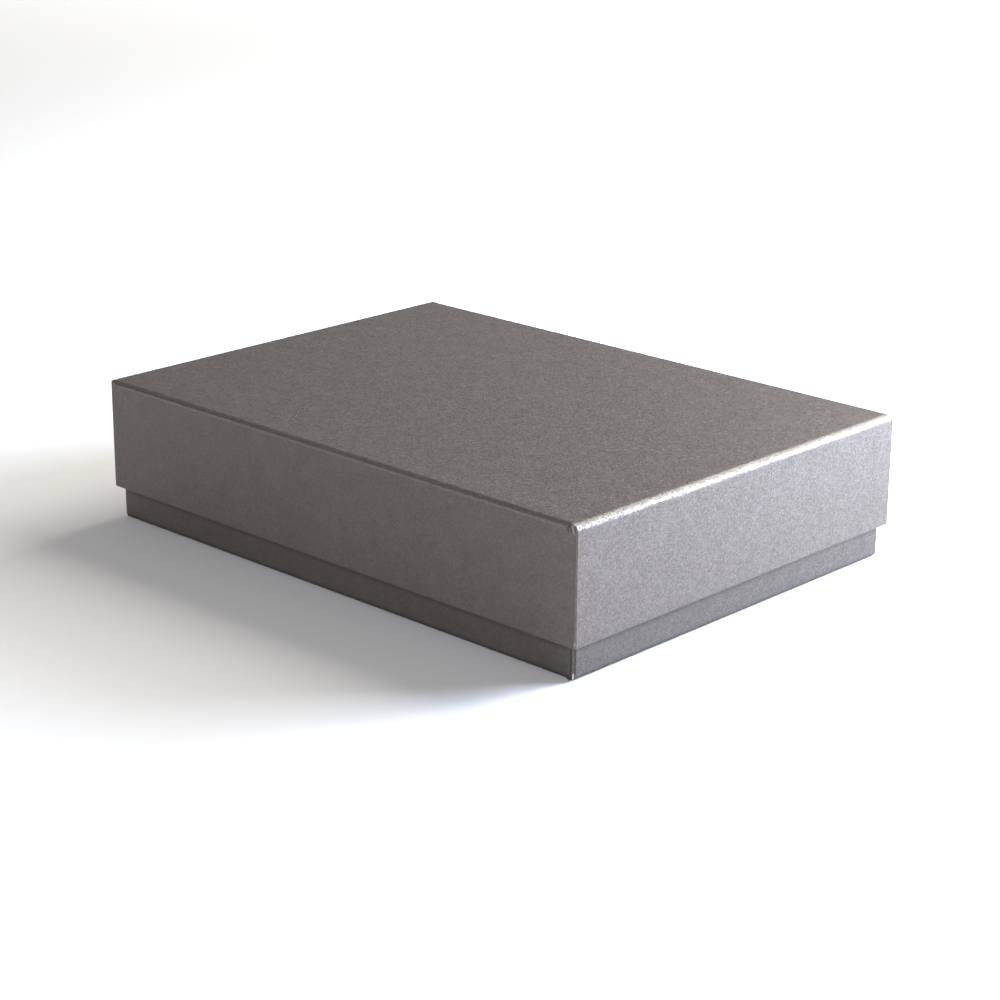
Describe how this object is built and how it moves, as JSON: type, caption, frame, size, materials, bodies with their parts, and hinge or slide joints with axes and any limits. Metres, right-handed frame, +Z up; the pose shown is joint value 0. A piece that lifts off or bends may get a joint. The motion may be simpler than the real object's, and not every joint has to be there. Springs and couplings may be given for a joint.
{
  "type": "archival box",
  "caption": "Rigid lidded storage box for A4 sheets: a paper-covered board tray with a deep lift-off lid that telescopes over it and leaves a narrow band of the tray showing.",
  "frame": {"origin": "on the table under the middle of the closed box", "axes": "+X along the long side, +Y across to the back, +Z up through the lid"},
  "size_m": [0.3168, 0.2298, 0.0733],
  "materials": {
    "cover_paper": "pearlescent warm grey cover paper, satin metallic",
    "lining_paper": "matte off-white lining paper",
    "greyboard": "matte recycled greyboard",
    "stay_paper": "matte brown gummed paper"
  },
  "bodies": {
    "base": {"base_board": "greyboard", "base_corner_stay_front_left": "stay_paper", "base_corner_stay_front_right": "stay_paper", "base_corner_stay_back_left": "stay_paper", "base_corner_stay_back_right": "stay_paper", "base_cover": "cover_paper", "base_lining": "lining_paper"},
    "lid": {"lid_board": "greyboard", "lid_corner_stay_front_left": "stay_paper", "lid_corner_stay_front_right": "stay_paper", "lid_corner_stay_back_left": "stay_paper", "lid_corner_stay_back_right": "stay_paper", "lid_cover": "cover_paper", "lid_lining": "lining_paper"}
  },
  "joints": [
    {"name": "lid_lift", "type": "slide", "parent": "base", "child": "lid", "axis": [0, 0, 1], "range_m": [0, 0.12]}
  ]
}
